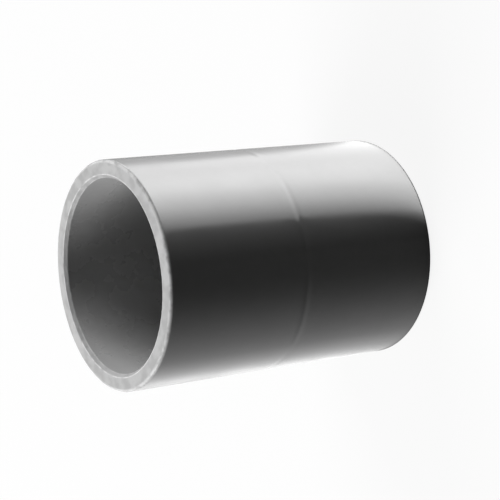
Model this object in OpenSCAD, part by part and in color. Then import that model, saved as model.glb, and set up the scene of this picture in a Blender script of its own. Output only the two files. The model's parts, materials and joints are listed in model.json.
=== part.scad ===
// Rigid PVC conduit coupling, plain solvent-weld kind, 3/4 inch trade size.
// One moulded sleeve: a socket at each end, a centre stop between them and a sink groove outside.
// It stands on one end: +Z runs along its axis, and the origin is the centre of the lower end face.
// Sizes are in millimetres. The shape is one half section, turned once about the axis.

/* [Conduit] */
// Outside diameter of the conduit that the sockets take
conduit_d = 26.67; // [20:0.01:35]
// Wall thickness of the conduit, which the centre stop is as deep as
conduit_wall = 2.87; // [1.5:0.01:4]
// Gap between the conduit and the parallel seat, on the radius, where the cement goes
cement_gap = 0.065; // [0.02:0.005:0.2]

/* [Sleeve] */
// Wall thickness beside the parallel seat
wall = 2.6; // [2:0.1:5]
// Radius of the rounded outer edge at each end
edge_r = 0.5; // [0.1:0.1:0.8]

/* [Sockets] */
// Depth of each socket, from the end face to the centre stop
socket_l = 20.8; // [14:0.2:40]
// Depth over which the mouth narrows to the parallel seat
entry_l = 6; // [1:0.5:12]
// How much wider the mouth is than the parallel seat, on the radius
entry_flare = 0.08; // [0.02:0.01:0.3]
// Size of the 45 degree chamfer at the mouth
mouth_chamfer = 0.45; // [0.1:0.05:0.6]
// Radius of the corner at the bottom of the socket
corner_r = 0.3; // [0.1:0.05:0.6]

/* [Centre stop] */
// Width of the stop along the axis, between the ends of the two conduits
stop_w = 2; // [1:0.1:5]
// Radius of the rounded edges of the wire way, so that wires don't chafe
throat_edge_r = 0.4; // [0.1:0.05:0.45]

/* [Sink groove] */
// Width of the groove that the skin sinks into over the stop
groove_w = 1.2; // [0.6:0.1:4]
// Depth of the groove at its lowest
groove_depth = 0.04; // [0.02:0.01:0.3]

/* [Hidden] */

seat_r = conduit_d / 2 + cement_gap;
mouth_r = seat_r + entry_flare;
body_r = seat_r + wall;
// The wire way lines up with the inside of the conduit.
throat_r = conduit_d / 2 - conduit_wall;
body_l = 2 * socket_l + stop_w;
mid_z = body_l / 2;

// A circle through both rims of the groove and its lowest point has this radius.
groove_r = (pow(groove_w / 2, 2) + pow(groove_depth, 2)) / (2 * groove_depth);

// How far a cut runs past the face that it opens
overcut = 1;
// How far the stop's section runs into the wall, so that the two are one solid
root = wall / 2;
// Segments in a full circle
$fn = 180;

// Rectangle with corners rounded on the +X side only
module round_sided(size, r) {
    square([size.x - r, size.y]);
    translate([0, r]) square([size.x, size.y - 2 * r]);
    for (y = [r, size.y - r])
        translate([size.x - r, y]) circle(r);
}

// Space inside one socket, with its mouth at y = 0
module socket_section() {
    polygon([
        [0, -overcut],
        [mouth_r + mouth_chamfer + overcut, -overcut],
        [mouth_r, mouth_chamfer],
        [seat_r, entry_l],
        [0, entry_l]
    ]);
    square([seat_r, socket_l - corner_r]);
    square([seat_r - corner_r, socket_l]);
    translate([seat_r - corner_r, socket_l - corner_r]) circle(corner_r);
}

// The groove is the rim of a large circle that just breaks the skin.
module groove_section() {
    translate([body_r - groove_depth + groove_r, mid_z]) circle(groove_r);
}

// Wall of the sleeve, solid to the axis between the two sockets
module sleeve_section() {
    difference() {
        round_sided([body_r, body_l], edge_r);
        socket_section();
        translate([0, body_l]) mirror([0, 1]) socket_section();
        translate([0, socket_l - overcut]) square([seat_r - corner_r, stop_w + 2 * overcut]);
        groove_section();
    }
}

// Ring that each conduit butts against, with rounded edges towards the axis
module stop_section() {
    translate([seat_r + root, socket_l]) mirror([1, 0])
        round_sided([seat_r + root - throat_r, stop_w], throat_edge_r);
}

module coupling() {
    color("gray") rotate_extrude() {
        sleeve_section();
        stop_section();
    }
}

coupling();
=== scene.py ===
"""Grey rigid PVC conduit coupling, standing on its end in a plain studio.

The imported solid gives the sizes. One finely turned mesh stands in for it, with the small relief
of a moulded skin and a layered PVC finish. Sizes are stated in millimetres, and turned into
metres where a mesh, a node or a lamp is made. Directions round the part are degrees from the
camera's side, towards +X.
"""

import json
import logging
import math
from dataclasses import dataclass
from enum import Enum
from typing import Any

import bpy
from mathutils import Matrix, Vector

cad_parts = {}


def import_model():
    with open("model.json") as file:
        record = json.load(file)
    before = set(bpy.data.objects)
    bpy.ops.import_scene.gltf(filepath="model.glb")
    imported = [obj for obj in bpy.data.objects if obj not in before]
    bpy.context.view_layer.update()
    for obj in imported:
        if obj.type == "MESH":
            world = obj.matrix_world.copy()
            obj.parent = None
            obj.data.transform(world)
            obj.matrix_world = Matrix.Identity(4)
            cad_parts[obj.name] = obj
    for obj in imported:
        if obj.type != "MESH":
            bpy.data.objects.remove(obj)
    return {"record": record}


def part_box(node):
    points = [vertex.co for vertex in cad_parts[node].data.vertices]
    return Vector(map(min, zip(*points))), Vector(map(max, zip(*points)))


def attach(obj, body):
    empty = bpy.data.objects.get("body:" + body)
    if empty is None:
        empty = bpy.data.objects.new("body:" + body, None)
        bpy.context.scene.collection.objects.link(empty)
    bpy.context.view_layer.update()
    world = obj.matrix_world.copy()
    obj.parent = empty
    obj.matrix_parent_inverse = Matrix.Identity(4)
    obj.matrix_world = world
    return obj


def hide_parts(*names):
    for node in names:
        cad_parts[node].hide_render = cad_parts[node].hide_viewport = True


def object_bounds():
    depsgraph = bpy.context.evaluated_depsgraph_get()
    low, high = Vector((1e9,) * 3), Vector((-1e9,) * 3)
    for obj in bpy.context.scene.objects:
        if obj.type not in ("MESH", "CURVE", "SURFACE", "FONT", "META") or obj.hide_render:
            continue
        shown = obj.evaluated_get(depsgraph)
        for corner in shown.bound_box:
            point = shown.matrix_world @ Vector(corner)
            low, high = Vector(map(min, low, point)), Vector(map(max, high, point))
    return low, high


frame: dict[str, Any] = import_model()
CAD_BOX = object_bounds()

LOG = logging.getLogger("coupling")
MM = 0.001
FULL_TURN = 360.0
NODE = "coupling"


def linear(hex_code: str) -> tuple[float, float, float, float]:
    """Turns an sRGB hex colour into linear RGBA.

    Args:
        hex_code: Six hex digits after a hash sign.

    Returns:
        Linear red, green and blue, with an alpha of 1.
    """
    parts = [int(hex_code[i:i + 2], 16) / 255 for i in (1, 3, 5)]
    curved = [c / 12.92 if c <= 0.04045 else ((c + 0.055) / 1.055) ** 2.4 for c in parts]
    return (*curved, 1.0)


def direction(azimuth: float, height: float = 0.0) -> Vector:
    """Gives the unit vector that points out from the part in one direction.

    Args:
        azimuth: Direction round the part, in degrees.
        height: Angle above the floor, in degrees.

    Returns:
        The unit vector.
    """
    a, e = math.radians(azimuth), math.radians(height)
    return Vector((math.sin(a) * math.cos(e), -math.cos(a) * math.cos(e), math.sin(e)))


def add_node(
    tree: bpy.types.NodeTree,
    kind: str,
    settings: dict[str, Any] | None = None,
    inputs: dict[str | int, Any] | None = None,
) -> bpy.types.Node:
    """Adds one node with its settings and inputs.

    Args:
        tree: The tree to add it to.
        kind: The node's type name.
        settings: Attributes of the node itself.
        inputs: What goes into it, by input name or number: an output socket or a plain value.

    Returns:
        The new node.
    """
    node = tree.nodes.new(kind)
    for name, value in (settings or {}).items():
        setattr(node, name, value)
    for key, value in (inputs or {}).items():
        if isinstance(value, bpy.types.NodeSocket):
            tree.links.new(value, node.inputs[key])
        else:
            node.inputs[key].default_value = value
    return node


class Zone(Enum):
    """Stretch of the surface with a finish of its own, named as its mask attribute."""

    SKIN = "skin"
    END = "end"
    SOCKET = "socket"


@dataclass(frozen=True)
class Corner:
    """One corner of the wall's section.

    Args:
        radius: Distance from the axis, in millimetres.
        height: Height above the lower end, in millimetres.
        fillet: Rounding radius, in millimetres.
        zone: Finish of the stretch that starts here.
        wear: How much handling rubs this corner and how much paler painted highlight it gets, from 0 to 1.
    """

    radius: float
    height: float
    fillet: float
    zone: Zone
    wear: float = 0.0


@dataclass(frozen=True)
class SectionPoint:
    """One point of the rounded section, with what the finish needs to know there."""

    radius: float
    height: float
    zone: Zone
    wear: float


@dataclass(frozen=True)
class SleeveSizes:
    """Sizes of the sleeve in millimetres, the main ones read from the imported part.

    Args:
        body_r: Outside radius.
        length: Length along the axis.
        seat_r: Radius of the parallel seat in each socket.
        throat_r: Radius of the wire way through the centre stop.
        edge_r: Rounding of the outer edge at each end.
        entry_flare: How much wider the mouth is than the seat, on the radius.
        entry_depth: Depth over which the mouth narrows to the seat.
        mouth_chamfer: Size of the chamfer at the mouth.
        crisp_r: Rounding of the chamfer's two edges.
        corner_r: Rounding at the bottom of each socket.
        stop_w: Width of the centre stop.
        throat_edge_r: Rounding of the wire way's edges.
    """

    body_r: float
    length: float
    seat_r: float
    throat_r: float
    edge_r: float = 0.5
    entry_flare: float = 0.08
    entry_depth: float = 6.0
    mouth_chamfer: float = 0.45
    crisp_r: float = 0.3
    corner_r: float = 0.3
    stop_w: float = 2.0
    throat_edge_r: float = 0.4

    @classmethod
    def from_frame(cls) -> "SleeveSizes":
        """Reads the outer sizes from the node's box and the bores from its mounts."""
        low, high = (Vector(corner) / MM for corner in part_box(NODE))
        bores = {m["name"]: m["dims"]["r_mm"] for m in frame["record"]["mounts"] if m["kind"] == "bore"}
        return cls(
            body_r=min(-low.x, -low.y, high.x, high.y),
            length=high.z - low.z,
            seat_r=bores["upper_socket"],
            throat_r=bores["wire_way"],
        )


@dataclass(frozen=True)
class TurnedSection:
    """The closed wall section, rounded at every corner and stepped finely where it bends.

    Args:
        sizes: Sizes of the sleeve.
        arc_steps: Steps in each rounded corner.
        coarse_step: Spacing of the points along a straight stretch, in millimetres.
        fine_step: Their spacing where the groove bends the skin.
        fine_reach: How far the fine spacing goes on either side of mid-length.
        support: Distance of a straight stretch's first point from the corner's rounding.
        shortest: Length under which a straight stretch isn't cut.
    """

    sizes: SleeveSizes
    arc_steps: int = 8
    coarse_step: float = 1.0
    fine_step: float = 0.1
    fine_reach: float = 2.0
    support: float = 0.04
    shortest: float = 0.12

    def corners(self) -> list[Corner]:
        """Lists the corners, up the outside and back down through the sockets."""
        s = self.sizes
        mouth_r = s.seat_r + s.entry_flare
        lip_r = mouth_r + s.mouth_chamfer
        stop_low = (s.length - s.stop_w) / 2
        stop_high = s.length - stop_low
        top = s.length
        return [
            # The last number of a corner marks its edge for rubbing by handling and for a paler painted
            # highlight along it.
            Corner(s.body_r, 0, s.edge_r, Zone.SKIN, 1.0),
            Corner(s.body_r, top, s.edge_r, Zone.END, 1.0),
            Corner(lip_r, top, s.crisp_r, Zone.END, 1.0),
            Corner(mouth_r, top - s.mouth_chamfer, s.crisp_r, Zone.SOCKET, 0.8),
            Corner(s.seat_r, top - s.entry_depth, 0, Zone.SOCKET),
            Corner(s.seat_r, stop_high, s.corner_r, Zone.SOCKET),
            Corner(s.throat_r, stop_high, s.throat_edge_r, Zone.SOCKET, 0.3),
            Corner(s.throat_r, stop_low, s.throat_edge_r, Zone.SOCKET, 0.3),
            Corner(s.seat_r, stop_low, s.corner_r, Zone.SOCKET),
            Corner(s.seat_r, s.entry_depth, 0, Zone.SOCKET),
            Corner(mouth_r, s.mouth_chamfer, s.crisp_r, Zone.END, 0.8),
            Corner(lip_r, 0, s.crisp_r, Zone.END, 1.0),
        ]

    def rounded(self, before: Corner, here: Corner, after: Corner) -> list[SectionPoint]:
        """Rounds one corner with an arc that runs smoothly into both sides.

        Args:
            before: The corner that comes before it.
            here: The corner to round.
            after: The corner that comes after it.

        Returns:
            Points along the arc, or the corner itself where it has no fillet.
        """
        point = Vector((here.radius, here.height))
        if not here.fillet:
            return [SectionPoint(point.x, point.y, here.zone, here.wear)]
        back = (Vector((before.radius, before.height)) - point).normalized()
        ahead = (Vector((after.radius, after.height)) - point).normalized()
        half = math.acos(max(-1.0, min(1.0, back.dot(ahead)))) / 2
        reach = here.fillet / math.tan(half)
        centre = point + (back + ahead).normalized() * (here.fillet / math.sin(half))
        start = point + back * reach - centre
        end = point + ahead * reach - centre
        turn = start.angle_signed(end)
        made = []
        for step in range(self.arc_steps + 1):
            share = step / self.arc_steps
            spot = centre + Matrix.Rotation(-turn * share, 2) @ start
            # The mark for rubbing and painted highlight is strongest in the middle of each rounded edge.
            wear = here.wear * math.sin(math.pi * share)
            zone = before.zone if share < 0.5 else here.zone
            made.append(SectionPoint(spot.x, spot.y, zone, wear))
        return made

    def stations(self, start: SectionPoint, end: SectionPoint) -> list[float]:
        """Chooses where a straight stretch is cut, finely near mid-length on the outside.

        Args:
            start: First point of the stretch.
            end: Last point of the stretch.

        Returns:
            Shares of the stretch, between 0 and 1.
        """
        span = math.hypot(end.radius - start.radius, end.height - start.height)
        if span < self.shortest:
            return []
        places = {self.support, span - self.support}
        count = max(1, round(span / self.coarse_step))
        places.update(span * i / count for i in range(1, count))
        if start.zone is Zone.SKIN and end.radius == start.radius:
            middle = self.sizes.length / 2 - start.height
            fine = round(self.fine_reach / self.fine_step)
            places = {p for p in places if abs(p - middle) > self.fine_reach + self.fine_step}
            places.update(middle + i * self.fine_step for i in range(-fine, fine + 1))
        return [p / span for p in sorted(places)]

    def points(self) -> list[SectionPoint]:
        """Returns the whole closed section, with the first point repeated at the end."""
        corners = self.corners()
        count = len(corners)
        arcs = [
            self.rounded(corners[i - 1], corners[i], corners[(i + 1) % count]) for i in range(count)
        ]
        made: list[SectionPoint] = []
        for i, arc in enumerate(arcs):
            made.extend(arc)
            start, end = arc[-1], arcs[(i + 1) % count][0]
            for share in self.stations(start, end):
                made.append(SectionPoint(
                    start.radius + (end.radius - start.radius) * share,
                    start.height + (end.height - start.height) * share,
                    corners[i].zone,
                    0.0,
                ))
        made.append(made[0])
        return made


@dataclass(frozen=True)
class MouldedRelief:
    """Small departures of the moulded wall from a true turned shape, in millimetres.

    The groove is where the thick stop ring drew the skin in as it cooled. The parting line is
    the hair-fine ridge where the two halves of the mould met, on both flanks. The wave is the
    slow unevenness of any moulded wall, too small to measure but seen in its reflections.

    Args:
        groove_w: Width of the groove.
        groove_depth: Depth of the groove.
        line_w: Width of the parting line.
        line_height: Height of the parting line.
        wave_depth: Depth of the wave.
        wave_length: Length of the wave.
        seed: Picks one wave pattern.
    """

    groove_w: float = 1.2
    groove_depth: float = 0.04
    line_w: float = 0.2
    line_height: float = 0.02
    wave_depth: float = 0.006
    wave_length: float = 7.0
    seed: int = 4


class TurningTree:
    """Geometry tree that turns a section about +Z and presses the mould's relief into it."""

    SOCKETS = {
        "Section": "NodeSocketGeometry",
        "Segments": "NodeSocketInt",
        "Crowding": "NodeSocketFloat",
        "Wall Middle": "NodeSocketFloat",
        "Groove Width": "NodeSocketFloat",
        "Groove Depth": "NodeSocketFloat",
        "Groove Height": "NodeSocketFloat",
        "Line Width": "NodeSocketFloat",
        "Line Height": "NodeSocketFloat",
        "Wave Depth": "NodeSocketFloat",
        "Wave Length": "NodeSocketFloat",
        "Seed": "NodeSocketInt",
        "Material": "NodeSocketMaterial",
    }
    CARRIED = (*(zone.value for zone in Zone), "wear")
    GROOVE_SHARPNESS = -1.6
    LINE_SHARPNESS = -1.0
    WAVE_DETAIL = 1.0
    MERGE_MM = 0.002

    def __init__(self) -> None:
        """Builds the whole tree."""
        self.tree = bpy.data.node_groups.new("turn_section", "GeometryNodeTree")
        for label, kind in self.SOCKETS.items():
            self.tree.interface.new_socket(label, in_out="INPUT", socket_type=kind)
        self.tree.interface.new_socket("Sleeve", in_out="OUTPUT", socket_type="NodeSocketGeometry")
        self.given = add_node(self.tree, "NodeGroupInput").outputs
        self.finish(*self.turn())

    def turn(self) -> tuple[bpy.types.NodeSocket, dict[str, bpy.types.NodeSocket]]:
        """Wraps a grid round the axis, one row for each point of the section.

        Returns:
            The turned shell, and what it carries from the section.
        """
        tree, given = self.tree, self.given
        size = add_node(
            tree, "GeometryNodeAttributeDomainSize", {"component": "MESH"},
            {"Geometry": given["Section"]},
        )
        count = size.outputs["Point Count"]
        columns = add_node(tree, "ShaderNodeMath", {"operation": "ADD"}, {0: given["Segments"], 1: 1})
        grid = add_node(
            tree, "GeometryNodeMeshGrid", None,
            {"Size X": 1.0, "Size Y": 1.0, "Vertices X": columns.outputs[0], "Vertices Y": count},
        )
        spot = add_node(tree, "ShaderNodeSeparateXYZ", None, {0: grid.outputs["UV Map"]}).outputs
        last = add_node(tree, "ShaderNodeMath", {"operation": "SUBTRACT"}, {0: count, 1: 1})
        level = add_node(
            tree, "ShaderNodeMath", {"operation": "MULTIPLY"}, {0: spot["Y"], 1: last.outputs[0]},
        )
        row = add_node(tree, "ShaderNodeMath", {"operation": "ROUND"}, {0: level.outputs[0]})
        sampled = {
            label: add_node(
                tree, "GeometryNodeInputNamedAttribute", {"data_type": "FLOAT"}, {"Name": label},
            ).outputs["Attribute"]
            for label in self.CARRIED
        }
        carried = {
            label: add_node(
                tree, "GeometryNodeSampleIndex", {"data_type": "FLOAT", "domain": "POINT"},
                {"Geometry": given["Section"], "Value": value, "Index": row.outputs[0]},
            ).outputs[0]
            for label, value in sampled.items()
        }
        place = add_node(tree, "GeometryNodeInputPosition").outputs[0]
        profile = add_node(
            tree, "GeometryNodeSampleIndex", {"data_type": "FLOAT_VECTOR", "domain": "POINT"},
            {"Geometry": given["Section"], "Value": place, "Index": row.outputs[0]},
        ).outputs[0]
        angle = self.angle(spot["X"])
        round_axis = {"rotation_type": "Z_AXIS"}
        true = add_node(tree, "ShaderNodeVectorRotate", round_axis, {"Vector": profile, "Angle": angle})
        inward = add_node(
            tree, "ShaderNodeCombineXYZ", None, {"X": self.sunk(profile, true.outputs[0])},
        )
        pressed = add_node(
            tree, "ShaderNodeVectorMath", {"operation": "SUBTRACT"}, {0: profile, 1: inward.outputs[0]},
        )
        turned = add_node(
            tree, "ShaderNodeVectorRotate", round_axis, {"Vector": pressed.outputs[0], "Angle": angle},
        )
        shell = add_node(
            tree, "GeometryNodeSetPosition", None,
            {"Geometry": grid.outputs["Mesh"], "Position": turned.outputs[0]},
        )
        return shell.outputs[0], carried

    def angle(self, share: bpy.types.NodeSocket) -> bpy.types.NodeSocket:
        """Spreads the columns round the axis, closer together at the two parting lines.

        Args:
            share: Share of the way round, from 0 to 1.

        Returns:
            The angle from +X.
        """
        tree = self.tree
        even = add_node(tree, "ShaderNodeMath", {"operation": "MULTIPLY"}, {0: share, 1: math.tau})
        double = add_node(
            tree, "ShaderNodeMath", {"operation": "MULTIPLY"}, {0: even.outputs[0], 1: 2.0},
        )
        swing = add_node(tree, "ShaderNodeMath", {"operation": "SINE"}, {0: double.outputs[0]})
        shift = add_node(
            tree, "ShaderNodeMath", {"operation": "MULTIPLY"},
            {0: swing.outputs[0], 1: self.given["Crowding"]},
        )
        return add_node(
            tree, "ShaderNodeMath", {"operation": "SUBTRACT"},
            {0: even.outputs[0], 1: shift.outputs[0]},
        ).outputs[0]

    def bell(
        self, off: bpy.types.NodeSocket, width: bpy.types.NodeSocket, sharpness: float,
    ) -> bpy.types.NodeSocket:
        """Makes a smooth hump across a line.

        Args:
            off: Signed distance from the line.
            width: Width of the hump.
            sharpness: Exponent at half the width, below zero.

        Returns:
            1 on the line, falling to 0 on both sides.
        """
        tree = self.tree
        double = add_node(tree, "ShaderNodeMath", {"operation": "MULTIPLY"}, {0: off, 1: 2.0})
        share = add_node(
            tree, "ShaderNodeMath", {"operation": "DIVIDE"}, {0: double.outputs[0], 1: width},
        )
        square = add_node(
            tree, "ShaderNodeMath", {"operation": "POWER"}, {0: share.outputs[0], 1: 2.0},
        )
        power = add_node(
            tree, "ShaderNodeMath", {"operation": "MULTIPLY"}, {0: square.outputs[0], 1: sharpness},
        )
        return add_node(
            tree, "ShaderNodeMath", {"operation": "EXPONENT"}, {0: power.outputs[0]},
        ).outputs[0]

    def sunk(
        self, profile: bpy.types.NodeSocket, true: bpy.types.NodeSocket,
    ) -> bpy.types.NodeSocket:
        """Works out how far each point lies inside the true turned shape.

        Args:
            profile: The point on the section.
            true: The same point, turned to its place.

        Returns:
            The distance, towards the axis.
        """
        tree, given = self.tree, self.given
        at = add_node(tree, "ShaderNodeSeparateXYZ", None, {0: profile}).outputs
        across = add_node(tree, "ShaderNodeSeparateXYZ", None, {0: true}).outputs["Y"]
        off_middle = add_node(
            tree, "ShaderNodeMath", {"operation": "SUBTRACT"}, {0: at["Z"], 1: given["Groove Height"]},
        )
        groove = add_node(
            tree, "ShaderNodeMath", {"operation": "MULTIPLY"},
            {
                0: self.bell(off_middle.outputs[0], given["Groove Width"], self.GROOVE_SHARPNESS),
                1: given["Groove Depth"],
            },
        )
        beside = add_node(
            tree, "ShaderNodeMath", {"operation": "SUBTRACT"},
            {0: 1.0, 1: self.bell(across, given["Line Width"], self.LINE_SHARPNESS)},
        )
        skin = add_node(
            tree, "ShaderNodeMath", {"operation": "MULTIPLY_ADD"},
            {0: beside.outputs[0], 1: given["Line Height"], 2: groove.outputs[0]},
        )
        outside = add_node(
            tree, "ShaderNodeMath", {"operation": "GREATER_THAN"}, {0: at["X"], 1: given["Wall Middle"]},
        )
        fineness = add_node(
            tree, "ShaderNodeMath", {"operation": "DIVIDE"}, {0: 1.0, 1: given["Wave Length"]},
        )
        wave = add_node(
            tree, "ShaderNodeTexNoise", {"noise_dimensions": "4D"},
            {"Vector": true, "W": given["Seed"], "Scale": fineness.outputs[0],
             "Detail": self.WAVE_DETAIL},
        )
        slow = add_node(
            tree, "ShaderNodeMath", {"operation": "MULTIPLY"}, {0: wave.outputs[0], 1: given["Wave Depth"]},
        )
        return add_node(
            tree, "ShaderNodeMath", {"operation": "MULTIPLY_ADD"},
            {0: skin.outputs[0], 1: outside.outputs[0], 2: slow.outputs[0]},
        ).outputs[0]

    def finish(self, shell: bpy.types.NodeSocket, carried: dict[str, bpy.types.NodeSocket]) -> None:
        """Stores the masks, closes the seam and dresses the shell.

        Args:
            shell: The turned shell.
            carried: Values to store on its points, by name.
        """
        tree = self.tree
        for label, value in carried.items():
            shell = add_node(
                tree, "GeometryNodeStoreNamedAttribute", {"data_type": "FLOAT", "domain": "POINT"},
                {"Geometry": shell, "Name": label, "Value": value},
            ).outputs[0]
        closed = add_node(
            tree, "GeometryNodeMergeByDistance", None,
            {"Geometry": shell, "Distance": self.MERGE_MM * MM},
        )
        smooth = add_node(tree, "GeometryNodeSetShadeSmooth", None, {"Geometry": closed.outputs[0]})
        real = add_node(tree, "GeometryNodeRealizeInstances", None, {"Geometry": smooth.outputs[0]})
        dressed = add_node(
            tree, "GeometryNodeSetMaterial", None,
            {"Geometry": real.outputs[0], "Material": self.given["Material"]},
        )
        add_node(tree, "NodeGroupOutput", None, {"Sleeve": dressed.outputs[0]})


@dataclass(frozen=True)
class MouldedSleeve:
    """The coupling's one piece: a section turned about +Z, with the relief of its mould.

    Args:
        sizes: Sizes of the sleeve.
        relief: Small departures from the true shape.
        segments: Columns round the axis.
        crowding: How much closer together the columns are at the parting lines.
        name: Name of the piece.
    """

    sizes: SleeveSizes
    relief: MouldedRelief = MouldedRelief()
    segments: int = 320
    crowding: float = 0.3
    name: str = "moulded_sleeve"

    def section_mesh(self) -> bpy.types.Mesh:
        """Makes the section's points, with the zone masks and the mask of rubbing and painted highlight as
        attributes.
        """
        points = TurnedSection(self.sizes).points()
        mesh = bpy.data.meshes.new(f"{self.name}_section")
        mesh.from_pydata([(p.radius * MM, 0, p.height * MM) for p in points], [], [])
        for zone in Zone:
            mask = mesh.attributes.new(zone.value, "FLOAT", "POINT")
            mask.data.foreach_set("value", [float(p.zone is zone) for p in points])
        # This mask lays the paler colour on the edges: partly rubbing, partly a painted highlight on the
        # rims.
        wear = mesh.attributes.new("wear", "FLOAT", "POINT")
        wear.data.foreach_set("value", [p.wear for p in points])
        return mesh

    def tree_inputs(self, material: bpy.types.Material) -> dict[str, Any]:
        """Gathers the turning tree's inputs, with lengths in metres.

        Args:
            material: The PVC finish.

        Returns:
            Values by the name of their input.
        """
        sizes, relief = self.sizes, self.relief
        lengths = {
            "Wall Middle": (sizes.body_r + sizes.seat_r) / 2,
            "Groove Width": relief.groove_w,
            "Groove Depth": relief.groove_depth,
            "Groove Height": sizes.length / 2,
            "Line Width": relief.line_w,
            "Line Height": relief.line_height,
            "Wave Depth": relief.wave_depth,
            "Wave Length": relief.wave_length,
        }
        return {
            **{label: value * MM for label, value in lengths.items()},
            "Segments": self.segments,
            "Crowding": self.crowding,
            "Seed": relief.seed,
            "Material": material,
        }

    def build(self, material: bpy.types.Material) -> bpy.types.Object:
        """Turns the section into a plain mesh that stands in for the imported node.

        Args:
            material: The PVC finish.

        Returns:
            The finished piece, riding on the root body.
        """
        tree = TurningTree().tree
        rough = bpy.data.objects.new(f"{self.name}_rough", self.section_mesh())
        bpy.context.scene.collection.objects.link(rough)
        turning = rough.modifiers.new("turning", "NODES")
        turning.node_group = tree
        wanted = self.tree_inputs(material)
        for item in tree.interface.items_tree:
            if item.in_out == "INPUT" and item.name in wanted:
                turning[item.identifier] = wanted[item.name]
        evaluated = rough.evaluated_get(bpy.context.evaluated_depsgraph_get())
        mesh = bpy.data.meshes.new_from_object(evaluated)
        rough.modifiers.remove(turning)
        bpy.data.objects.remove(rough)
        self.face_outwards(mesh)
        piece = bpy.data.objects.new(self.name, mesh)
        bpy.context.scene.collection.objects.link(piece)
        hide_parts(NODE)
        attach(piece, "root")
        return piece

    @staticmethod
    def face_outwards(mesh: bpy.types.Mesh) -> None:
        """Flips the whole shell if its volume comes out negative.

        Args:
            mesh: The closed shell.
        """
        volume = 0.0
        mesh.calc_loop_triangles()
        for triangle in mesh.loop_triangles:
            a, b, c = (mesh.vertices[i].co for i in triangle.vertices)
            volume += a.dot(b.cross(c))
        if volume < 0:
            mesh.flip_normals()


@dataclass(frozen=True)
class MouldFace:
    """How one zone of the steel mould leaves the plastic.

    Args:
        smooth: Roughness where the plastic copied the steel well.
        dull: Roughness where it did not.
        grain_mm: Spacing of the fine relief, round the axis and along it.
        depth_mm: Depth of the fine relief.
    """

    smooth: float
    dull: float
    grain_mm: tuple[float, float]
    depth_mm: float


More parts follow.
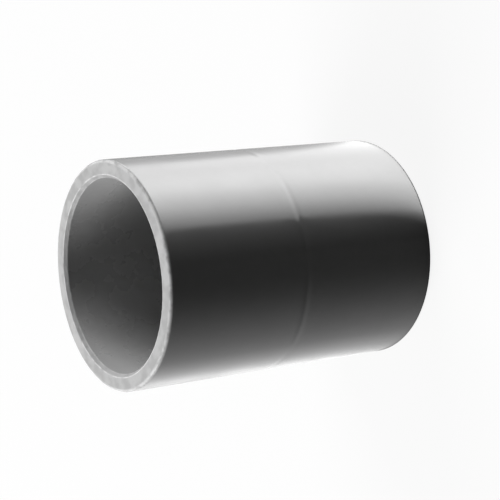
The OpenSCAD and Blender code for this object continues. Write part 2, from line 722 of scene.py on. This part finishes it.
@dataclass(frozen=True)
class GreyPvcFinish:
    """Rigid grey PVC as it leaves a polished steel mould.

    The pigment gives an even neutral grey, a little cloudy where the melt flowed. The polished
    cavity leaves a semi-gloss skin with a crisp reflection, over a fine orange peel. The end
    faces, which fill last, are mottled and duller. The core's draw marks run along the sockets.
    The real grain is finer than a render shows, so each pattern is as coarse as it needs to be.
    A pair of edges says where a noise, from 0 to 1, starts to count and where it counts in full.

    Args:
        pigment: Colour of most of the plastic.
        cloud_pigment: Colour where the melt flowed.
        mottle_pigment: Colour of the blotches on the end faces.
        wear_and_highlight_pigment: Colour of the rounded edges, paler from rubbing and as a painted
            highlight.
        ior: Index of refraction of rigid PVC.
        specular_level: Strength of the gloss, matched to the crisp highlights of this skin.
        cloud_mm: Size of the clouds.
        cloud_edges: Where the clouds turn the skin from smooth to dull.
        cloud_detail: Finer octaves of the clouds.
        cloud_roughness: Strength of those octaves.
        mottle_mm: Size of the blotches.
        mottle_edges: Where a blotch starts and is full.
        wear_and_highlight_mm: Size of the spots of rubbing and painted highlight on the edges.
        wear_and_highlight_edges: Where such a spot starts and is full.
        patch_detail: Finer octaves of the blotches and of the spots of rubbing and painted highlight.
        grain_detail: Finer octaves of the fine relief.
        faces: What each zone of the mould leaves.
    """

    pigment: str = "#939393"
    cloud_pigment: str = "#898989"
    mottle_pigment: str = "#808080"
    # Paler colour on the edges: partly rubbing, partly a painted highlight that lightens the rims.
    wear_and_highlight_pigment: str = "#B4B4B4"
    ior: float = 1.54
    specular_level: float = 1.0
    cloud_mm: float = 5.0
    cloud_edges: tuple[float, float] = (0.38, 0.66)
    cloud_detail: float = 4.0
    cloud_roughness: float = 0.55
    mottle_mm: float = 1.6
    mottle_edges: tuple[float, float] = (0.4, 0.62)
    wear_and_highlight_mm: float = 1.1
    wear_and_highlight_edges: tuple[float, float] = (0.25, 0.6)
    patch_detail: float = 3.0
    grain_detail: float = 2.0
    faces: tuple[tuple[Zone, MouldFace], ...] = (
        (Zone.SKIN, MouldFace(0.15, 0.22, (0.9, 0.9), 0.0012)),
        (Zone.END, MouldFace(0.34, 0.48, (0.45, 0.45), 0.004)),
        (Zone.SOCKET, MouldFace(0.24, 0.34, (0.35, 6.0), 0.0025)),
    )

    def material(self) -> bpy.types.Material:
        """Builds the material's nodes."""
        made = bpy.data.materials.new("grey_pvc_moulded")
        made.use_nodes = True
        tree = made.node_tree
        tree.nodes.clear()
        place = add_node(tree, "ShaderNodeTexCoord").outputs["Object"]
        masks = {
            zone: add_node(tree, "ShaderNodeAttribute", {"attribute_name": zone.value}).outputs["Fac"]
            for zone in Zone
        }
        clouds = add_node(
            tree, "ShaderNodeTexNoise", None,
            {"Vector": place, "Scale": 1 / (self.cloud_mm * MM),
             "Detail": self.cloud_detail, "Roughness": self.cloud_roughness},
        ).outputs[0]
        rough, height = self.relief(tree, place, clouds, masks)
        bump = add_node(
            tree, "ShaderNodeBump", None, {"Strength": 1.0, "Distance": MM, "Height": height},
        )
        shader = add_node(
            tree, "ShaderNodeBsdfPrincipled", None,
            {
                "Base Color": self.colour(tree, place, clouds, masks[Zone.END]),
                "Roughness": rough,
                "Normal": bump.outputs[0],
                "IOR": self.ior,
                "Specular IOR Level": self.specular_level,
            },
        )
        add_node(tree, "ShaderNodeOutputMaterial", None, {"Surface": shader.outputs[0]})
        return made

    def relief(
        self,
        tree: bpy.types.NodeTree,
        place: bpy.types.NodeSocket,
        clouds: bpy.types.NodeSocket,
        masks: dict[Zone, bpy.types.NodeSocket],
    ) -> tuple[bpy.types.NodeSocket, bpy.types.NodeSocket]:
        """Adds up the gloss and the fine relief of the zones.

        Args:
            tree: The material's tree.
            place: Position on the piece.
            clouds: The slow pattern of the flowing melt, from 0 to 1.
            masks: How much of each zone there is at a point.

        Returns:
            The roughness, and the relief's height in millimetres.
        """
        rough: Any = 0.0
        height: Any = 0.0
        low, high = self.cloud_edges
        for zone, face in self.faces:
            gloss = add_node(
                tree, "ShaderNodeMapRange", {"interpolation_type": "SMOOTHSTEP"},
                {"Value": clouds, "From Min": low, "From Max": high,
                 "To Min": face.smooth, "To Max": face.dull},
            )
            rough = add_node(
                tree, "ShaderNodeMath", {"operation": "MULTIPLY_ADD"},
                {0: masks[zone], 1: gloss.outputs[0], 2: rough},
            ).outputs[0]
            around, along = (1 / (spacing * MM) for spacing in face.grain_mm)
            spread = add_node(
                tree, "ShaderNodeMapping", None, {"Vector": place, "Scale": (around, around, along)},
            )
            grain = add_node(
                tree, "ShaderNodeTexNoise", None,
                {"Vector": spread.outputs[0], "Scale": 1.0, "Detail": self.grain_detail},
            )
            deep = add_node(
                tree, "ShaderNodeMath", {"operation": "MULTIPLY"},
                {0: grain.outputs[0], 1: face.depth_mm},
            )
            height = add_node(
                tree, "ShaderNodeMath", {"operation": "MULTIPLY_ADD"},
                {0: masks[zone], 1: deep.outputs[0], 2: height},
            ).outputs[0]
        return rough, height

    def colour(
        self,
        tree: bpy.types.NodeTree,
        place: bpy.types.NodeSocket,
        clouds: bpy.types.NodeSocket,
        end_mask: bpy.types.NodeSocket,
    ) -> bpy.types.NodeSocket:
        """Lays the cloudy pigment, the mottled ends and the paler edges, from rubbing plus a painted
        highlight, over each other.

        Args:
            tree: The material's tree.
            place: Position on the piece.
            clouds: The slow pattern of the flowing melt, from 0 to 1.
            end_mask: How much of an end face there is at a point.

        Returns:
            The base colour.
        """
        colour_mix = {"data_type": "RGBA"}
        base = add_node(
            tree, "ShaderNodeMix", colour_mix,
            {0: clouds, 6: linear(self.pigment), 7: linear(self.cloud_pigment)},
        )
        mottle = add_node(
            tree, "ShaderNodeTexNoise", None,
            {"Vector": place, "Scale": 1 / (self.mottle_mm * MM), "Detail": self.patch_detail},
        )
        low, high = self.mottle_edges
        blotches = add_node(
            tree, "ShaderNodeMapRange", {"interpolation_type": "SMOOTHSTEP"},
            {"Value": mottle.outputs[0], "From Min": low, "From Max": high},
        )
        blotch = add_node(
            tree, "ShaderNodeMath", {"operation": "MULTIPLY"}, {0: blotches.outputs[0], 1: end_mask},
        )
        mottled = add_node(
            tree, "ShaderNodeMix", colour_mix,
            {0: blotch.outputs[0], 6: base.outputs[2], 7: linear(self.mottle_pigment)},
        )
        # Spots along the edges where the paler colour shows: rubbing and a painted highlight.
        wear_and_highlight_noise = add_node(
            tree, "ShaderNodeTexNoise", None,
            {"Vector": place, "Scale": 1 / (self.wear_and_highlight_mm * MM), "Detail": self.patch_detail},
        )
        low, high = self.wear_and_highlight_edges
        wear_and_highlight_spots = add_node(
            tree, "ShaderNodeMapRange", {"interpolation_type": "SMOOTHSTEP"},
            {"Value": wear_and_highlight_noise.outputs[0], "From Min": low, "From Max": high},
        )
        # Edge mask for rubbing and painted highlight.
        wear = add_node(tree, "ShaderNodeAttribute", {"attribute_name": "wear"}).outputs["Fac"]
        wear_and_highlight_mask = add_node(
            tree, "ShaderNodeMath", {"operation": "MULTIPLY"}, {0: wear_and_highlight_spots.outputs[0], 1: wear},
        )
        return add_node(
            tree, "ShaderNodeMix", colour_mix,
            {0: wear_and_highlight_mask.outputs[0], 6: mottled.outputs[2], 7: linear(self.wear_and_highlight_pigment)},
        ).outputs[2]


@dataclass(frozen=True)
class Lamp:
    """One soft panel lamp that faces the part.

    Args:
        name: Name of the lamp.
        azimuth: Direction round the part, in degrees.
        height: Angle above the floor, in degrees.
        distance: Distance from the part, in metres.
        panel: Width and height of its panel, in metres.
        watts: Its power.
    """

    name: str
    azimuth: float
    height: float
    distance: float
    panel: tuple[float, float]
    watts: float

    def hang(self, target: Vector) -> None:
        """Hangs the lamp so that it faces a point.

        Args:
            target: The point, in metres.
        """
        data = bpy.data.lights.new(self.name, "AREA")
        data.shape = "RECTANGLE"
        data.size, data.size_y = self.panel
        data.energy = self.watts
        way = direction(self.azimuth, self.height)
        lamp = bpy.data.objects.new(self.name, data)
        lamp.location = target + way * self.distance
        lamp.rotation_mode = "QUATERNION"
        lamp.rotation_quaternion = (-way).to_track_quat("-Z", "Y")
        lamp.visible_camera = False
        lamp.visible_glossy = False
        bpy.context.scene.collection.objects.link(lamp)


@dataclass(frozen=True)
class StudioTable:
    """Pale floor that the part stands on, with soft panels laid round it for its gloss.

    The camera sees an even white. A glossy upright wall mirrors the floor, so the floor carries
    what shapes its highlights: panels stated as a brightness by direction, which stop at one
    straight edge in front of the part. The wall shows that edge as a crisp line along itself.
    Nothing but gloss sees the panels, so they put no other light on the part.

    Args:
        panels: Direction round the hub, in degrees, and the brightness there, where 1 is white.
        hub_mm: Place on the floor that the panels' directions are taken from, as X and Y.
        edge_from: Direction of the point at the part's foot that the straight edge runs through.
        edge_way: Angle from +X to the side of the straight edge that is lit, in degrees.
        edge_blur_mm: Width over which the panels fade in at the straight edge.
        foot_mm: Distances from the axis where the panels start and are full.
        reach_mm: Distances from the axis where they start to fade and have faded.
        far_share: Share of the brightness that is left past the fade.
        half_size: Half the side of the floor, in metres.
        bounce: Colour of the floor as the light of the lamps meets it.
        camera_white: Brightness of the floor to the camera, before the lamps add to it.
        shadow_tone: How much the lamps add, which is what shows the part's shadow.
    """

    panels: tuple[tuple[float, float], ...] = (
        (-180, 0.4), (-168, 0.6), (-154, 1.2), (-140, 1.7), (-119, 0.65), (-105, 0.13), (-92, 0.04),
        (-50, 0.04), (0, 0.04), (26, 0.9), (46, 1.4), (64, 3.4), (84, 4.9), (95, 4.5), (108, 3.3),
        (120, 2.7), (125, 2.3), (130, 1.1), (136, 0.6), (156, 0.3), (170, 0.1), (180, 0.4),
    )
    hub_mm: tuple[float, float] = (0.0, -13.0)
    edge_from: float = 10.0
    edge_way: float = 40.5
    edge_blur_mm: float = 3.0
    foot_mm: tuple[float, float] = (15.9, 16.6)
    reach_mm: tuple[float, float] = (100.0, 260.0)
    far_share: float = 0.3
    half_size: float = 3.0
    bounce: str = "#404040"
    camera_white: float = 0.88
    shadow_tone: str = "#404040"

    def azimuth_ramp(
        self, tree: bpy.types.NodeTree, place: bpy.types.NodeSocket,
    ) -> tuple[bpy.types.NodeSocket, float]:
        """Reads the panels' brightness from the direction of a point on the floor.

        Args:
            tree: The material's tree.
            place: Position on the floor.

        Returns:
            The brightness as a share of the brightest panel, and the brightest panel.
        """
        from_hub = add_node(
            tree, "ShaderNodeVectorMath", {"operation": "SUBTRACT"},
            {0: place, 1: (self.hub_mm[0] * MM, self.hub_mm[1] * MM, 0.0)},
        )
        turned = add_node(
            tree, "ShaderNodeVectorRotate", {"rotation_type": "Z_AXIS"},
            {"Vector": from_hub.outputs[0], "Angle": math.pi / 2},
        )
        share = add_node(
            tree, "ShaderNodeTexGradient", {"gradient_type": "RADIAL"}, {"Vector": turned.outputs[0]},
        )
        ramp = add_node(tree, "ShaderNodeValToRGB", None, {"Fac": share.outputs["Fac"]})
        peak = max(value for _, value in self.panels)
        stops = ramp.color_ramp.elements
        stops.remove(stops[-1])
        for number, (azimuth, value) in enumerate(self.panels):
            spot = (azimuth + FULL_TURN / 2) / FULL_TURN
            stop = stops.new(spot) if number else stops[0]
            stop.position = spot
            stop.color = (value / peak,) * 3 + (1.0,)
        return ramp.outputs[0], peak

    def glow(self, tree: bpy.types.NodeTree, place: bpy.types.NodeSocket) -> bpy.types.NodeSocket:
        """Works out how bright the floor is in the part's reflections.

        Args:
            tree: The material's tree.
            place: Position on the floor.

        Returns:
            The brightness, where 1 is white.
        """
        share, peak = self.azimuth_ramp(tree, place)
        start = direction(self.edge_from) * self.foot_mm[0] * MM
        way = math.radians(self.edge_way)
        beyond = add_node(
            tree, "ShaderNodeVectorMath", {"operation": "SUBTRACT"}, {0: place, 1: start},
        )
        past = add_node(
            tree, "ShaderNodeVectorMath", {"operation": "DOT_PRODUCT"},
            {0: beyond.outputs[0], 1: (math.cos(way), math.sin(way), 0.0)},
        )
        blur = self.edge_blur_mm * MM / 2
        lit = add_node(
            tree, "ShaderNodeMapRange", {"interpolation_type": "SMOOTHSTEP"},
            {"Value": past.outputs["Value"], "From Min": -blur, "From Max": blur},
        )
        side = add_node(tree, "ShaderNodeSeparateXYZ", None, {0: place}).outputs["X"]
        left = add_node(tree, "ShaderNodeMath", {"operation": "LESS_THAN"}, {0: side, 1: 0.0})
        shown = add_node(
            tree, "ShaderNodeMath", {"operation": "MAXIMUM"}, {0: lit.outputs[0], 1: left.outputs[0]},
        )
        away = add_node(tree, "ShaderNodeVectorMath", {"operation": "LENGTH"}, {0: place})
        near, clear = (edge * MM for edge in self.foot_mm)
        beside = add_node(
            tree, "ShaderNodeMapRange", {"interpolation_type": "SMOOTHSTEP"},
            {"Value": away.outputs["Value"], "From Min": near, "From Max": clear},
        )
        full, end = (edge * MM for edge in self.reach_mm)
        fade = add_node(
            tree, "ShaderNodeMapRange", {"interpolation_type": "SMOOTHSTEP"},
            {"Value": away.outputs["Value"], "From Min": full, "From Max": end,
             "To Min": peak, "To Max": peak * self.far_share},
        )
        strength = share
        for factor in (shown, beside, fade):
            strength = add_node(
                tree, "ShaderNodeMath", {"operation": "MULTIPLY"}, {0: strength, 1: factor.outputs[0]},
            ).outputs[0]
        return strength

    def material(self) -> bpy.types.Material:
        """Builds the floor's material: white to the camera, panels to gloss, matt to the rest."""
        made = bpy.data.materials.new("studio_table")
        made.use_nodes = True
        made.cycles.emission_sampling = "NONE"
        tree = made.node_tree
        tree.nodes.clear()
        place = add_node(tree, "ShaderNodeTexCoord").outputs["Object"]
        ray = add_node(tree, "ShaderNodeLightPath").outputs
        panels = add_node(tree, "ShaderNodeEmission", None, {"Strength": self.glow(tree, place)})
        matt = add_node(tree, "ShaderNodeBsdfDiffuse", None, {"Color": linear(self.bounce)})
        unseen = add_node(
            tree, "ShaderNodeMixShader", None,
            {0: ray["Is Glossy Ray"], 1: matt.outputs[0], 2: panels.outputs[0]},
        )
        white = add_node(tree, "ShaderNodeEmission", None, {"Strength": self.camera_white})
        shade = add_node(tree, "ShaderNodeBsdfDiffuse", None, {"Color": linear(self.shadow_tone)})
        seen = add_node(tree, "ShaderNodeAddShader", None, {0: white.outputs[0], 1: shade.outputs[0]})
        mixed = add_node(
            tree, "ShaderNodeMixShader", None,
            {0: ray["Is Camera Ray"], 1: unseen.outputs[0], 2: seen.outputs[0]},
        )
        add_node(tree, "ShaderNodeOutputMaterial", None, {"Surface": mixed.outputs[0]})
        return made

    def lay(self) -> None:
        """Lays the floor under the part."""
        h = self.half_size
        mesh = bpy.data.meshes.new("studio_table")
        mesh.from_pydata([(-h, -h, 0), (h, -h, 0), (h, h, 0), (-h, h, 0)], [], [(0, 1, 2, 3)])
        mesh.materials.append(self.material())
        floor = bpy.data.objects.new("studio_table", mesh)
        bpy.context.scene.collection.objects.link(floor)


@dataclass(frozen=True)
class StudioCamera:
    """Camera with the photograph's view of the part.

    The part lies across the picture there, so the camera is rolled by about a quarter turn.

    Args:
        eye_mm: Where the camera stands.
        aim_mm: A point on its line of sight.
        roll: Turn about the line of sight, in degrees.
        lens: Focal length, in millimetres.
        sensor: Width of the sensor, in millimetres.
        clip: Nearest and farthest distance that it sees, in metres.
    """

    eye_mm: tuple[float, float, float] = (0.0, -194.27, 147.54)
    aim_mm: tuple[float, float, float] = (1.376, 0.0, 20.436)
    roll: float = 96.61
    lens: float = 115.75
    sensor: float = 36.0
    clip: tuple[float, float] = (0.01, 20.0)

    def set_up(self) -> None:
        """Makes the camera and gives it to the scene."""
        data = bpy.data.cameras.new("studio_camera")
        data.lens = self.lens
        data.sensor_width = self.sensor
        data.clip_start, data.clip_end = self.clip
        camera = bpy.data.objects.new("studio_camera", data)
        eye, aim = Vector(self.eye_mm) * MM, Vector(self.aim_mm) * MM
        upright = (aim - eye).to_track_quat("-Z", "Y").to_matrix()
        rolled = upright @ Matrix.Rotation(-math.radians(self.roll), 3, "Z")
        camera.matrix_world = Matrix.Translation(eye) @ rolled.to_4x4()
        bpy.context.scene.collection.objects.link(camera)
        bpy.context.scene.camera = camera


@dataclass(frozen=True)
class Surroundings:
    """The world round the table, as a white sweep behind the part in a dim room.

    The camera sees white everywhere. The part's gloss mirrors the sweep behind it, which is
    what brightens its lips. The room in front of it is dim, and so is the light from all round.

    Args:
        white: Brightness of the sweep.
        dim: Brightness of the room.
        sweep_edges: How far behind the part the sweep starts and is full, as a unit vector's Y.
    """

    white: float = 0.97
    dim: float = 0.04
    sweep_edges: tuple[float, float] = (0.35, 0.8)

    def set_up(self) -> None:
        """Makes the world and gives it to the scene."""
        world = bpy.data.worlds.new("studio_world")
        world.use_nodes = True
        tree = world.node_tree
        tree.nodes.clear()
        ray = add_node(tree, "ShaderNodeLightPath").outputs
        way = add_node(tree, "ShaderNodeTexCoord").outputs["Generated"]
        behind = add_node(tree, "ShaderNodeSeparateXYZ", None, {0: way}).outputs["Y"]
        low, high = self.sweep_edges
        sweep = add_node(
            tree, "ShaderNodeMapRange", {"interpolation_type": "SMOOTHSTEP"},
            {"Value": behind, "From Min": low, "From Max": high,
             "To Min": self.dim, "To Max": self.white},
        )
        mirrored = add_node(tree, "ShaderNodeBackground", None, {"Strength": sweep.outputs[0]})
        dim = add_node(tree, "ShaderNodeBackground", None, {"Strength": self.dim})
        white = add_node(tree, "ShaderNodeBackground", None, {"Strength": self.white})
        unseen = add_node(
            tree, "ShaderNodeMixShader", None,
            {0: ray["Is Glossy Ray"], 1: dim.outputs[0], 2: mirrored.outputs[0]},
        )
        mixed = add_node(
            tree, "ShaderNodeMixShader", None,
            {0: ray["Is Camera Ray"], 1: unseen.outputs[0], 2: white.outputs[0]},
        )
        add_node(tree, "ShaderNodeOutputWorld", None, {"Surface": mixed.outputs[0]})
        bpy.context.scene.world = world


@dataclass(frozen=True)
class Studio:
    """The plain studio: table, surroundings, soft lamps and camera.

    The key lamp and the far lamp light the two flanks and leave the front dark. The top lamp
    brightens the upper end. All three stand behind the part, out of its gloss.

    Args:
        table: Floor, with the panels for the gloss.
        surroundings: World round the table.
        camera: Camera with the photograph's view.
        lamps: Soft panel lamps.
    """

    table: StudioTable = StudioTable()
    surroundings: Surroundings = Surroundings()
    camera: StudioCamera = StudioCamera()
    lamps: tuple[Lamp, ...] = (
        Lamp("key_lamp", azimuth=103, height=25, distance=0.8, panel=(0.5, 0.5), watts=10.5),
        Lamp("far_lamp", azimuth=-117, height=33, distance=0.8, panel=(0.5, 0.5), watts=10.6),
        Lamp("top_lamp", azimuth=-130, height=70, distance=0.8, panel=(0.4, 0.4), watts=4.0),
    )

    def set_up(self, target: Vector) -> None:
        """Sets everything up round the part.

        Args:
            target: The middle of the part, which the lamps face.
        """
        self.table.lay()
        self.surroundings.set_up()
        for lamp in self.lamps:
            lamp.hang(target)
        self.camera.set_up()
        bpy.context.scene.view_settings.view_transform = "Standard"


def main() -> None:
    """Builds the part, then the studio, and reports each piece."""
    logging.basicConfig(level=logging.INFO, format="%(name)s: %(message)s")
    sizes = SleeveSizes.from_frame()
    LOG.info("sizes %s", sizes)
    sleeve = MouldedSleeve(sizes).build(GreyPvcFinish().material())
    LOG.info("%s: %d faces", sleeve.name, len(sleeve.data.polygons))
    low, high = CAD_BOX
    Studio().set_up((Vector(low) + Vector(high)) / 2)


if __name__ == "__main__":
    main()
